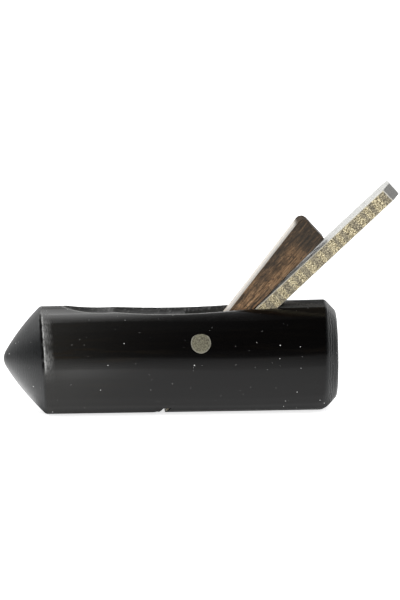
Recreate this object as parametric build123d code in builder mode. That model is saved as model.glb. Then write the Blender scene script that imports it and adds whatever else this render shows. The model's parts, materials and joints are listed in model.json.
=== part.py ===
"""Bullet-nosed hand plane with a round stock, a bevel-up iron, a wedge and a riveted cross pin.

Millimetres, +Z up. X runs along the sole from the nose (-X) to the heel (+X), and Y = 0 is the middle plane.
The sole is the plane Z = 0, and the origin is a point in the middle of its width, nose_reach behind the nose tip.
"""

from build123d import *

import os
from math import cos, radians, sin, sqrt, tan

# Stock: a hand-planed round bar, a little thicker at the heel, with turned ends.
stock_l = 79.3
nose_reach = 42.8
nose_end_d = 25.6
heel_end_d = 26.4
sole_flat_w = 6.5
nose_rise = 0.65  # the ends are turned about a line that starts this much above the bar's own at the nose
heel_rise = 0.3  # and ends this much above it at the heel
nose_tip_r = 3.5
nose_tip_slope = 59.0  # degrees between the nose's side and its centre line, where the tip's ball ends
nose_side_r = 52.0
heel_face_r = 10.15
heel_dome = 0.45
heel_bevel = 47.0  # degrees between the heel's bevel and its centre line
heel_inner_r = 1.6

# Finger hollow: gouged along an arc in the top of the stock, and along a tighter arc at its nose end.
hollow_x = -1.7
hollow_depth = 4.1
hollow_gouge_r = 10.0
hollow_floor_r = 81.0
hollow_start_x = -19.0
hollow_start_depth = 2.7
hollow_start_r = 18.4

# Iron, bedded bevel up, with the cutting edge at the mouth.
bed_angle = 42.45
edge_x = -4.85
edge_lift = 0.05  # the edge rests this far above the sole
iron_w = 10.4
iron_t = 3.5
iron_l = 75.8
iron_bevel = 32.0
iron_corner = 1.9  # the top end's corners are clipped by this much
iron_arris = 0.15

# Mouth and throat.
mouth_gap = 1.45
mouth_groove_h = 1.4
mouth_groove_run = 1.15
wear_angle = 75.0
cheek_gap = 0.1  # between the iron and each cheek of the throat
wedge_side_gap = 0.4  # between the wedge and each cheek
slide_gap = 0.05  # between faces that slide on each other

# Cross pin: a riveted pin that the wedge bears on, placed from the iron's upper face.
pin_along = 18.08
pin_off = 3.68
pin_d = 2.38
pin_head_d = 4.76
pin_head_l = 0.9
pin_flare_l = 1.3

# Wedge.
wedge_l = 44.9
wedge_taper = 9.15
wedge_tip_t = 1.2
wedge_contact_l = 16.5  # the back lies on the iron this far up from the tip, and is planed away above it
wedge_relief = 1.7
wedge_nose_r = 1.6
wedge_arris = 0.2

# Worked-out places.
nose_x = -nose_reach
heel_x = nose_x + stock_l
mean_r = (nose_end_d + heel_end_d) / 4
flat_sink = mean_r - sqrt(mean_r**2 - (sole_flat_w / 2) ** 2)
cutter_reach = nose_end_d + heel_end_d  # long enough to pass through the stock
nose_centre = Vector(nose_x, 0, nose_end_d / 2 - flat_sink)
heel_centre = Vector(heel_x, 0, heel_end_d / 2 - flat_sink)
bar_dir = heel_centre - nose_centre
bar_plane = Plane(origin=nose_centre, x_dir=bar_dir, z_dir=(0, -1, 0))
turned_origin = nose_centre + Vector(0, 0, nose_rise)
turned_dir = heel_centre + Vector(0, 0, heel_rise) - turned_origin
turned_plane = Plane(origin=turned_origin, x_dir=turned_dir, z_dir=(0, -1, 0))
along_bed = Vector(cos(radians(bed_angle)), 0, sin(radians(bed_angle)))
off_bed = Vector(-sin(radians(bed_angle)), 0, cos(radians(bed_angle)))
iron_plane = Plane(origin=(edge_x, 0, edge_lift), x_dir=along_bed, z_dir=(0, -1, 0))
wedge_plane = Plane(origin=iron_plane.origin + off_bed * (iron_t + slide_gap), x_dir=along_bed, z_dir=(0, -1, 0))
pin_centre = iron_plane.origin + along_bed * pin_along + off_bed * (iron_t + pin_off)
throat_w = iron_w + 2 * cheek_gap
wedge_w = throat_w - 2 * wedge_side_gap


def bar_d(x):
    """Diameter of the round bar at x."""
    return nose_end_d + (heel_end_d - nose_end_d) * (x - nose_x) / stock_l


def bed_x(z):
    """X of the bed at height z."""
    return edge_x + slide_gap / sin(radians(bed_angle)) + (z - edge_lift) / tan(radians(bed_angle))


# Round bar with the flat of the sole: the stock, the pin's ends and the iron's edge are all worked to it.
with BuildPart() as round_bar:
    with BuildSketch(bar_plane) as bar_half:
        Polygon(
            (-1, 0),
            (stock_l + 1, 0),
            (stock_l + 1, heel_end_d / 2),
            (-1, nose_end_d / 2),
            align=None,
        )
    revolve(axis=Axis(nose_centre, bar_dir))
    split(bisect_by=Plane.XY, keep=Keep.TOP)

# Turned ends: an ogive nose with a round tip, and a bevelled heel with a slightly domed face.
with BuildPart() as turned_ends:
    with BuildSketch(turned_plane) as turned_half:
        with BuildLine() as turned_outline:
            envelope_r = heel_end_d / 2 + 2 * nose_rise
            tip_a = radians(nose_tip_slope)
            tip_end = (nose_tip_r * (1 - sin(tip_a)), nose_tip_r * cos(tip_a))
            tip_mid_a = (tip_a + radians(90)) / 2
            tip_mid = (nose_tip_r * (1 - sin(tip_mid_a)), nose_tip_r * cos(tip_mid_a))
            side_centre = (tip_end[0] + nose_side_r * sin(tip_a), tip_end[1] - nose_side_r * cos(tip_a))
            base_x = side_centre[0] - sqrt(nose_side_r**2 - (envelope_r - side_centre[1]) ** 2)
            face_x = stock_l - heel_dome
            bevel_x = face_x - (envelope_r - heel_face_r) / tan(radians(heel_bevel))
            dome_r = (heel_face_r**2 + heel_dome**2) / (2 * heel_dome)
            ThreePointArc((0, 0), tip_mid, tip_end)
            RadiusArc(tip_end, (base_x, envelope_r), nose_side_r)
            Line((base_x, envelope_r), (bevel_x, envelope_r))
            Line((bevel_x, envelope_r), (face_x, heel_face_r))
            RadiusArc((face_x, heel_face_r), (stock_l, 0), dome_r)
            Line((stock_l, 0), (0, 0))
        make_face()
        fillet(turned_half.vertices().sort_by_distance((face_x, heel_face_r))[0], heel_inner_r)
    revolve(axis=Axis(turned_origin, turned_dir))

# Cross pin blank: a shank with flared, riveted heads.
with BuildPart() as pin_blank:
    bar_r = bar_d(pin_centre.X) / 2
    head_top = pin_centre.Z + pin_head_d / 2 - (bar_r - flat_sink)
    head_y = sqrt(bar_r**2 - head_top**2) - pin_head_l
    with BuildSketch(Plane.YZ.offset(pin_centre.X)):
        Polygon(
            (-cutter_reach, pin_centre.Z),
            (-cutter_reach, pin_centre.Z + pin_head_d / 2),
            (-head_y, pin_centre.Z + pin_head_d / 2),
            (pin_flare_l - head_y, pin_centre.Z + pin_d / 2),
            (head_y - pin_flare_l, pin_centre.Z + pin_d / 2),
            (head_y, pin_centre.Z + pin_head_d / 2),
            (cutter_reach, pin_centre.Z + pin_head_d / 2),
            (cutter_reach, pin_centre.Z),
            align=None,
        )
    revolve(axis=Axis(pin_centre, (0, 1, 0)))

# Stock.
with BuildPart() as stock:
    add(round_bar.part)
    add(turned_ends.part, mode=Mode.INTERSECT)
    # Finger hollow and shavings escape.
    for arc_x, arc_depth, arc_r in (
        (hollow_x, hollow_depth, hollow_floor_r),
        (hollow_start_x, hollow_start_depth, hollow_start_r),
    ):
        arc_z = bar_d(arc_x) - flat_sink - arc_depth
        with BuildSketch(Plane.YZ.offset(arc_x)):
            with Locations((0, arc_z + hollow_gouge_r)):
                Circle(hollow_gouge_r)
                Rectangle(2 * hollow_gouge_r, hollow_gouge_r, align=(Align.CENTER, Align.MIN), mode=Mode.SUBTRACT)
        revolve(axis=Axis((arc_x, 0, arc_z + arc_r), (0, 1, 0)), mode=Mode.SUBTRACT)
    # Throat, from the mouth up behind and in front of the pin.
    lip_x = edge_x - mouth_gap
    wear_x = lip_x + mouth_groove_run
    throat_top = cutter_reach / 2
    with BuildSketch(Plane.XZ):
        Polygon(
            (lip_x, 0),
            (wear_x, mouth_groove_h),
            (wear_x + (throat_top - mouth_groove_h) / tan(radians(wear_angle)), throat_top),
            (bed_x(throat_top), throat_top),
            (bed_x(-1), -1),
            (lip_x, -1),
            align=None,
        )
    extrude(amount=throat_w / 2, both=True, mode=Mode.SUBTRACT)
    # Mouth groove, across the whole sole.
    with BuildSketch(Plane.XZ):
        Polygon(
            (lip_x, 0),
            (wear_x, mouth_groove_h),
            (bed_x(mouth_groove_h), mouth_groove_h),
            (bed_x(-1), -1),
            (lip_x, -1),
            align=None,
        )
    extrude(amount=cutter_reach, both=True, mode=Mode.SUBTRACT)
    add(pin_blank.part, mode=Mode.SUBTRACT)

# Cross pin, filed flush with the bar.
with BuildPart() as cross_pin:
    add(pin_blank.part)
    add(round_bar.part, mode=Mode.INTERSECT)

# Space outside the bar round the mouth: the iron's corners are ground away to it.
with BuildPart() as outside_sole:
    with Locations((edge_x, 0, 0)):
        Box(6 * iron_t, 2 * iron_w, 6)
    add(round_bar.part, mode=Mode.SUBTRACT)

# Iron.
with BuildPart() as iron:
    with BuildSketch(iron_plane):
        Polygon(
            (0, 0),
            (iron_l, 0),
            (iron_l, iron_t),
            (iron_t / tan(radians(iron_bevel)), iron_t),
            align=None,
        )
    extrude(amount=iron_w / 2, both=True)
    top_corners = iron.edges().filter_by(Axis((0, 0, 0), off_bed)).sort_by(Axis((0, 0, 0), along_bed))[-2:]
    chamfer(top_corners, length=iron_corner)
    long_edges = iron.edges().filter_by(Axis((0, 0, 0), along_bed))
    chamfer(long_edges, length=iron_arris)
    add(outside_sole.part, mode=Mode.SUBTRACT)

# Wedge: its front bears on the pin, and the lower part of its back on the iron.
with BuildPart() as wedge:
    taper = radians(wedge_taper)
    pin_grip = pin_d / 2 + slide_gap
    wedge_point = pin_along - ((pin_off - slide_gap) * cos(taper) - pin_grip) / sin(taper)
    tip_s = wedge_point + wedge_tip_t / tan(taper)
    top_s = tip_s + wedge_l
    bend_s = tip_s + wedge_contact_l
    with BuildSketch(wedge_plane):
        Polygon(
            (tip_s, 0),
            (bend_s, 0),
            (top_s, (top_s - bend_s) * tan(radians(wedge_relief))),
            (top_s, (top_s - wedge_point) * tan(taper)),
            (tip_s, wedge_tip_t),
            align=None,
        )
    extrude(amount=wedge_w / 2, both=True)
    front_top_edge = wedge.edges().filter_by(Axis.Y).sort_by(Axis.Z)[-1]
    fillet(front_top_edge, wedge_nose_r)
    side_faces = wedge.faces().filter_by(Axis.Y)
    chamfer(side_faces.edges(), length=wedge_arris)

os.makedirs("parts", exist_ok=True)
for name, piece in {"stock": stock, "cross_pin": cross_pin, "iron": iron, "wedge": wedge}.items():
    piece.part.label = name
    export_step(piece.part, f"parts/{name}.step")
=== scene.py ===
"""The looks of a small bullet-nosed hand plane: a planed and turned ebony stock, a thick pitted iron, a worn
hardwood wedge and a riveted cross pin, on a pale floor in soft light.

Lengths in the settings are metres. Shapes are worked out in millimetres, and turned into metres at the end.
X runs from the nose to the heel, Z is up from the sole, and Y = 0 is the middle plane.
"""

import json
from contextlib import contextmanager
from math import cos, pi, radians, sin, tan

import bmesh
import bpy
import numpy as np
from bpy.props import FloatProperty, FloatVectorProperty, IntProperty, PointerProperty
from mathutils import Matrix, Vector


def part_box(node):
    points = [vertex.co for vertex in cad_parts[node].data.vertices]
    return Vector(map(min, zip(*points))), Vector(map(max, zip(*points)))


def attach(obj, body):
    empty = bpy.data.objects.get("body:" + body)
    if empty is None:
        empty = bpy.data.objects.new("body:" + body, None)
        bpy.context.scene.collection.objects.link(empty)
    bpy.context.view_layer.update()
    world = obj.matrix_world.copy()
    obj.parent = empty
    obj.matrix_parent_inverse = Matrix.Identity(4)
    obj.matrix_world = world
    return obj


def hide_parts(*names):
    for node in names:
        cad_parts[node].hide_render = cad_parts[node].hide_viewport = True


bl_info = {
    "name": "Bullet-nosed hand plane",
    "version": (1, 0, 0),
    "blender": (4, 5, 0),
    "location": "View3D > Sidebar > Hand Plane",
    "description": "Makes the stock, iron, wedge and cross pin of a small hand plane, and a studio for them",
    "category": "Add Mesh",
}

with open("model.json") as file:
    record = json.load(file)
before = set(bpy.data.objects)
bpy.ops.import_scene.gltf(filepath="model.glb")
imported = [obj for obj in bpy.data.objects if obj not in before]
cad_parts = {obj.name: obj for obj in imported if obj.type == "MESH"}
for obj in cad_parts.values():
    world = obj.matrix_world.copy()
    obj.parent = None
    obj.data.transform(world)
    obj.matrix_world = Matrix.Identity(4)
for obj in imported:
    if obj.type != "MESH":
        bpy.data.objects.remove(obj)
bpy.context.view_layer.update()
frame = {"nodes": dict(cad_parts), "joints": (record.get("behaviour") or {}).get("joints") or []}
STOCK_LOW, STOCK_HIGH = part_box("stock")
IRON_LOW, IRON_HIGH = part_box("iron")
_, WEDGE_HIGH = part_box("wedge")
PIN_LOW, PIN_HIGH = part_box("cross_pin")
SLIDE = next(joint for joint in frame["joints"] if joint["name"] == "iron_slide")
BED_DIR = Vector(SLIDE["axis"])
BED_ANGLE = BED_DIR.angle(Vector((1, 0, 0)))
MM = 0.001
WEDGE_TAPER = radians(9.15)
FRONT_ANGLE = BED_ANGLE + WEDGE_TAPER
IRON_HALF_WIDTH = (IRON_HIGH.y - IRON_LOW.y) / 2 / MM
EDGE_X = IRON_LOW.x / MM
PIN_CENTRE = (PIN_LOW + PIN_HIGH) / 2
PIN_HEAD_R = (PIN_HIGH.x - PIN_LOW.x) / 2 / MM


# ---------------------------------------------------------------- settings


def length(name, description, default):
    """A length that a user can change."""
    return FloatProperty(name=name, description=description, default=default, unit="LENGTH", precision=5)


def angle(name, description, degrees):
    """An angle that a user can change."""
    return FloatProperty(name=name, description=description, default=radians(degrees), subtype="ANGLE")


def colour(name, description, default):
    """A colour that a user can change."""
    limits = {"size": 3, "min": 0, "max": 1}
    return FloatVectorProperty(name=name, description=description, default=default, subtype="COLOR", **limits)


def seed(default):
    """The start of a piece's random numbers."""
    return IntProperty(name="Seed", description="Start of the random numbers", default=default, min=0)


class StockSettings(bpy.types.PropertyGroup):
    nose_end_d: length("Nose end diameter", "Diameter of the planed bar at the nose", 0.0256)
    heel_end_d: length("Heel end diameter", "Diameter of the planed bar at the heel", 0.0264)
    sole_flat_w: length("Sole width", "Width of the flat of the sole", 0.0065)
    nose_rise: length("Nose rise", "How far the turning line lies above the bar's centre at the nose", 0.00065)
    heel_rise: length("Heel rise", "How far the turning line lies above the bar's centre at the heel", 0.0003)
    nose_tip_r: length("Nose tip radius", "Radius of the ball at the tip of the nose", 0.0035)
    nose_side_r: length("Nose side radius", "Radius of the nose's swelling sides", 0.052)
    nose_tip_slope: angle("Nose tip slope", "Slope of the nose's side where the ball ends", 59)
    heel_face_r: length("Heel face radius", "Radius of the heel's domed face", 0.01015)
    heel_dome: length("Heel dome", "Height of the dome on the heel's face", 0.00045)
    heel_bevel: angle("Heel bevel", "Angle of the heel's bevel", 47)
    hollow_x: length("Hollow centre", "Place of the middle of the finger hollow", -0.0017)
    hollow_depth: length("Hollow depth", "Depth of the finger hollow", 0.0041)
    hollow_gouge_r: length("Hollow cross radius", "Radius of the finger hollow across the stock", 0.010)
    hollow_floor_r: length("Hollow long radius", "Radius of the finger hollow along the stock", 0.081)
    start_x: length("Hollow start", "Place of the deepest point of the cut at the hollow's nose end", -0.019)
    start_depth: length("Start depth", "Depth of the cut at the hollow's nose end", 0.0027)
    start_floor_r: length("Start long radius", "Radius along the stock of the nose end's cut", 0.0184)
    gouge_r: length("Gouge radius", "Sweep of the gouge that left its flutes in the hollow", 0.0045)
    mouth_gap: length("Mouth gap", "Opening of the mouth in front of the iron's edge", 0.00145)
    mouth_groove_h: length("Mouth groove depth", "Depth of the groove across the sole", 0.0014)
    mouth_groove_run: length("Mouth groove run", "How far the groove's front slopes back", 0.00115)
    wear_angle: angle("Throat front angle", "Angle of the throat's front wall", 75)
    cheek_gap: length("Cheek gap", "Gap between the iron and each cheek", 0.0001)
    slide_gap: length("Bed gap", "Gap between the iron and its bed", 0.00005)
    ebony: colour("Ebony", "Colour of the dark wood", (0.0013, 0.0011, 0.0011))
    # The worn colour also stands for a painted highlight towards the nose.
    ebony_worn_and_lit: colour("Worn ebony", "Colour of the dark wood where it is handled most", (0.0150, 0.0145, 0.0130))
    ebony_streak: colour("Ebony streaks", "Colour of the brown streaks in the dark wood", (0.014, 0.0100, 0.0055))
    bare_end: colour("Turned ends", "Colour of the dull turned ends", (0.0055, 0.0062, 0.0066))
    # Scuffed grey, also used for the painted reflection in the hollow and the painted highlight along its rim.
    scuffed_and_lit: colour("Scuffed wood", "Colour of scuffed and rubbed wood", (0.16, 0.16, 0.156))
    sawn: colour("Throat walls", "Colour of the rough walls of the throat", (0.055, 0.056, 0.055))
    # A painted highlight on the edge behind the score line.
    edge_highlight_grey: colour("Bruised edge", "Colour of the ragged edge behind the nose's score line", (0.48, 0.48, 0.47))
    # The score line's colour is painted shade in its groove.
    score_shade: colour("Score line", "Colour of the score line behind the nose", (0.0005, 0.0005, 0.0005))
    seed: seed(7)


class IronSettings(bpy.types.PropertyGroup):
    grain: length("Mesh size", "Size of the faces", 0.0002)
    pit_depth: length("Pit depth", "Depth of the rust pits", 0.00009)
    steel: colour("Steel", "Colour of the smooth face", (0.80, 0.80, 0.76))
    worn_steel: colour("Worn steel", "Colour of the duller clouds on the smooth face", (0.50, 0.49, 0.46))
    rust: colour("Rust", "Colour of the rust", (0.34, 0.27, 0.14))
    light_rust: colour("Light rust", "Colour of the lightest grains on the sides", (0.94, 0.84, 0.56))
    pitted: colour("Pits", "Colour in the pits of the sides", (0.075, 0.060, 0.034))
    dark_band: colour("Dark band, dark grains", "Darker colour in the dark bands", (0.075, 0.064, 0.047))
    light_band: colour("Dark band, light grains", "Lighter colour in the dark bands", (0.20, 0.175, 0.13))
    rubbed: colour("Rubbed edges", "Colour along the edges of the sides", (0.52, 0.49, 0.40))
    band: length("Band length", "Length of one light and one dark band on the sides", 0.0031)
    scale: colour("Scale", "Colour of the scale on the iron's back", (0.050, 0.040, 0.028))
    light_scale: colour("Light scale", "Lighter colour of the scale on the iron's back", (0.13, 0.105, 0.07))
    clipped: colour("Clipped corners", "Colour of the plain clipped corners", (0.20, 0.198, 0.19))
    clipped_rim: colour("Rim of the corners", "Colour round the clipped corners", (0.52, 0.50, 0.44))
    corner: length("Clipped corner", "How much the top end's corners are clipped", 0.0019)
    seed: seed(3)


class WedgeSettings(bpy.types.PropertyGroup):
    grain: length("Mesh size", "Size of the faces", 0.00022)
    furrow_depth: length("Furrow depth", "Depth of the furrows along the grain", 0.00006)
    heart: colour("Wood", "Main colour of the wood", (0.275, 0.155, 0.074))
    streak: colour("Dark streaks", "Colour of the dark streaks", (0.030, 0.023, 0.016))
    pale: colour("Light streaks", "Colour of the light streaks", (0.50, 0.300, 0.150))
    grime: colour("Grime", "Colour of the handled top end", (0.026, 0.023, 0.019))
    # A painted highlight on the wedge's front face.
    highlighted: colour("Bleached front", "Colour of the wedge's bleached front face", (0.80, 0.74, 0.65))
    seed: seed(5)


class PinSettings(bpy.types.PropertyGroup):
    grain: length("Mesh size", "Size of the faces", 0.00013)
    shank_d: length("Shank diameter", "Diameter of the pin in the throat", 0.00238)
    head_l: length("Head length", "Length of the full head at each end", 0.0009)
    flare_l: length("Flare length", "Length of the flare under each head", 0.0013)
    peen_depth: length("Peen depth", "Depth of the hammer marks", 0.00005)
    metal: colour("Metal", "Colour of the dull white metal", (0.20, 0.19, 0.13))
    stained: colour("Stains", "Colour of the stains on the metal", (0.13, 0.12, 0.085))
    pitted: colour("Pits", "Colour in the pits", (0.045, 0.040, 0.030))
    bright: colour("Bright grains", "Colour of the bright grains", (0.42, 0.40, 0.30))
    rim: colour("Rim", "Colour where the head was spread", (0.42, 0.41, 0.34))
    seed: seed(11)


class DustSettings(bpy.types.PropertyGroup):
    density: FloatProperty(name="Density", description="Specks for each square metre", default=42000, min=0)
    size: length("Size", "Largest radius of a speck", 0.00016)
    lint: colour("Dust", "Colour of the dust", (0.88, 0.88, 0.86))
    grit: colour("Grit", "Colour of the darker specks", (0.16, 0.16, 0.16))
    seed: seed(4)


class StageSettings(bpy.types.PropertyGroup):
    distance: length("Camera distance", "Distance from the camera to the plane", 1.3)
    elevation: angle("Elevation", "Camera above the floor", 7)
    azimuth: angle("Azimuth", "Camera round to the heel side", -1.8)
    roll: angle("Roll", "Tilt of the camera", 0.62)
    view_height: length("View height", "Height of the view at the plane", 0.1421)
    pale: colour("Floor", "Colour of the floor", (0.9, 0.9, 0.9))
    floor_glow: FloatProperty(name="Floor light", description="Light that the floor gives", default=0.72, min=0)
    round_light: FloatProperty(name="Light all round", description="Light from all round", default=0.85, min=0)
    lamp_power: FloatProperty(name="Lamp", description="Power of the top light", default=3.0, min=0, unit="POWER")


# ---------------------------------------------------------------- meshes


def new_object(name, mesh):
    """An object in the scene for a mesh."""
    made = bpy.data.objects.new(name, mesh)
    bpy.context.scene.collection.objects.link(made)
    return made


def evaluated(obj):
    """The object again with its modifiers' result as its own mesh."""
    depsgraph = bpy.context.evaluated_depsgraph_get()
    mesh = bpy.data.meshes.new_from_object(obj.evaluated_get(depsgraph))
    obj.modifiers.clear()
    obj.data = mesh
    return obj


def discard(obj):
    """Takes a helper object out of the file."""
    bpy.data.objects.remove(obj, do_unlink=True)


@contextmanager
def editing(mesh):
    """A mesh open for editing, written back at the end."""
    work = bmesh.new()
    work.from_mesh(mesh)
    yield work
    work.to_mesh(mesh)
    work.free()


def smooth_below(mesh, limit):
    """Smooth shading, with sharp edges where two faces meet at more than the limit."""
    with editing(mesh) as work:
        for face in work.faces:
            face.smooth = True
        for edge in work.edges:
            edge.smooth = len(edge.link_faces) == 2 and edge.calc_face_angle(pi) < limit


def prism(name, outline, half_width):
    """A closed solid with an outline of (x, z) points, as wide as half_width each side of the middle plane."""
    mesh = bpy.data.meshes.new(name)
    with editing(mesh) as work:
        near = [work.verts.new((x, -half_width, z)) for x, z in outline]
        far = [work.verts.new((x, half_width, z)) for x, z in outline]
        work.faces.new(near)
        work.faces.new(far)
        for i in range(len(outline)):
            j = (i + 1) % len(outline)
            work.faces.new((near[i], near[j], far[j], far[i]))
        bmesh.ops.recalc_face_normals(work, faces=work.faces)
    return new_object(name, mesh)


def turned_solid(name, centre_x, centre_z, outline, sides=64):
    """A closed solid turned about a line along Y, from an outline of (y, radius) points, 0 at both ends."""
    mesh = bpy.data.meshes.new(name)
    circle = [(cos(2 * pi * k / sides), sin(2 * pi * k / sides)) for k in range(sides)]
    with editing(mesh) as work:
        rings = [
            [work.verts.new((centre_x + radius * c, y, centre_z + radius * s)) for c, s in circle]
            for y, radius in outline[1:-1]
        ]
        first = work.verts.new((centre_x, outline[0][0], centre_z))
        last = work.verts.new((centre_x, outline[-1][0], centre_z))
        for k in range(sides):
            j = (k + 1) % sides
            work.faces.new((first, rings[0][k], rings[0][j]))
            work.faces.new((last, rings[-1][j], rings[-1][k]))
            for lower, upper in zip(rings, rings[1:]):
                work.faces.new((lower[k], upper[k], upper[j], lower[j]))
        bmesh.ops.recalc_face_normals(work, faces=work.faces)
    return new_object(name, mesh)


def cut(obj, cutter):
    """Takes the cutter's solid out of the object."""
    modifier = obj.modifiers.new("cut", "BOOLEAN")
    modifier.operation = "DIFFERENCE"
    modifier.solver = "EXACT"
    modifier.object = cutter
    evaluated(obj)
    discard(cutter)


def remeshed_copy(node, name, size, tilt):
    """A copy of a CAD node as small even faces, cut along and across a line at the tilt above the X axis."""
    mesh = frame["nodes"][node].data.copy()
    with editing(mesh) as work:
        bmesh.ops.remove_doubles(work, verts=work.verts, dist=0.001 * MM)
    level = Matrix.Rotation(tilt, 4, "Y")
    mesh.transform(Matrix.Scale(1 / MM, 4) @ level)
    obj = new_object(name, mesh)
    remesh = obj.modifiers.new("even faces", "REMESH")
    remesh.mode = "VOXEL"
    remesh.voxel_size = size / MM
    evaluated(obj)
    obj.data.transform(level.inverted() @ Matrix.Scale(MM, 4))
    return obj


# ---------------------------------------------------------------- node trees


def add(tree, kind, inputs=None, **settings):
    """Adds a node. An input is given by its name or number, as a value or as another node's output."""
    made = tree.nodes.new(kind)
    for key, value in settings.items():
        setattr(made, key, value)
    for key, value in (inputs or {}).items():
        if isinstance(value, bpy.types.NodeSocket):
            tree.links.new(value, made.inputs[key])
        else:
            made.inputs[key].default_value = value
    return made


def maths(tree, operation, *values, clamp=False):
    """The result of a Math node."""
    return add(tree, "ShaderNodeMath", dict(enumerate(values)), operation=operation, use_clamp=clamp).outputs[0]


def times(tree, a, b):
    """a times b."""
    return maths(tree, "MULTIPLY", a, b)


def times_plus(tree, a, b, c):
    """a times b, plus c."""
    return maths(tree, "MULTIPLY_ADD", a, b, c)


def minus(tree, a, b):
    """a less b."""
    return maths(tree, "SUBTRACT", a, b)


def greater(tree, a, b):
    """The greater of a and b."""
    return maths(tree, "MAXIMUM", a, b)


def unsigned(tree, a):
    """a without its sign."""
    return maths(tree, "ABSOLUTE", a)


def sine(tree, a):
    """The sine of a, in radians."""
    return maths(tree, "SINE", a)


def vector_maths(tree, operation, *values):
    """The result of a Vector Math node."""
    made = add(tree, "ShaderNodeVectorMath", dict(enumerate(values)), operation=operation)
    return made.outputs["Value" if operation in {"LENGTH", "DISTANCE", "DOT_PRODUCT"} else "Vector"]


def ramp(tree, value, low, high, to_low=0.0, to_high=1.0):
    """The value moved smoothly from to_low, at low, to to_high, at high."""
    inputs = {"Value": value, "From Min": low, "From Max": high, "To Min": to_low, "To Max": to_high}
    return add(tree, "ShaderNodeMapRange", inputs, interpolation_type="SMOOTHSTEP").outputs[0]


def blend(tree, share, first, second):
    """A colour between two others."""
    inputs = {"Factor": share, 6: first, 7: second}
    return add(tree, "ShaderNodeMix", inputs, data_type="RGBA").outputs[2]


def noise(tree, place, scale, detail=4.0, roughness=0.55, distortion=0.0):
    """Noise from 0 to 1 at a place in millimetres, where scale is in lumps for each millimetre."""
    inputs = {"Vector": place, "Scale": scale, "Detail": detail, "Roughness": roughness, "Distortion": distortion}
    return add(tree, "ShaderNodeTexNoise", inputs).outputs["Fac"]


def place_in_mm(tree, turn=0.0, stretch=(1, 1, 1)):
    """Object coordinates in millimetres, turned about Y so that X runs along a line, then stretched."""
    point = add(tree, "ShaderNodeTexCoord").outputs["Object"]
    turned = add(tree, "ShaderNodeMapping", {"Vector": point, "Rotation": (0, turn, 0)}).outputs[0]
    factors = tuple(1 / MM / s for s in stretch)
    return add(tree, "ShaderNodeMapping", {"Vector": turned, "Scale": factors}).outputs[0]


def attribute(tree, name):
    """A value that the mesh holds at its points."""
    return add(tree, "ShaderNodeAttribute", attribute_name=name).outputs["Fac"]


def new_material(name):
    """An empty material, its tree and its shader."""
    made = bpy.data.materials.new(name)
    made.use_nodes = True
    return made, made.node_tree, made.node_tree.nodes["Principled BSDF"]


def rgba(value, factor=1.0):
    """A colour setting times a factor, with full alpha."""
    return (*(factor * part for part in value), 1.0)


def wire(tree, shader, base, rough, height=None, bump=0.00002, metallic=0.0):
    """Joins colour, roughness and bump height to a shader. bump is the height in metres."""
    tree.links.new(base, shader.inputs["Base Color"])
    tree.links.new(rough, shader.inputs["Roughness"])
    if height is not None:
        bumped = add(tree, "ShaderNodeBump", {"Height": height, "Strength": 1.0, "Distance": bump})
        tree.links.new(bumped.outputs[0], shader.inputs["Normal"])
    if isinstance(metallic, bpy.types.NodeSocket):
        tree.links.new(metallic, shader.inputs["Metallic"])
    else:
        shader.inputs["Metallic"].default_value = metallic


# ---------------------------------------------------------------- materials


STOCK_LAYERS = ("nose", "heel", "hollow", "rim_highlight", "scuff", "haze", "score", "edge_highlight_band")
BELT_Z = 15.3  # height of the belt of brown streaks, in millimetres
RING_STEPS = (0.62, 0.47)  # spacings of the turning marks, in millimetres


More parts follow.
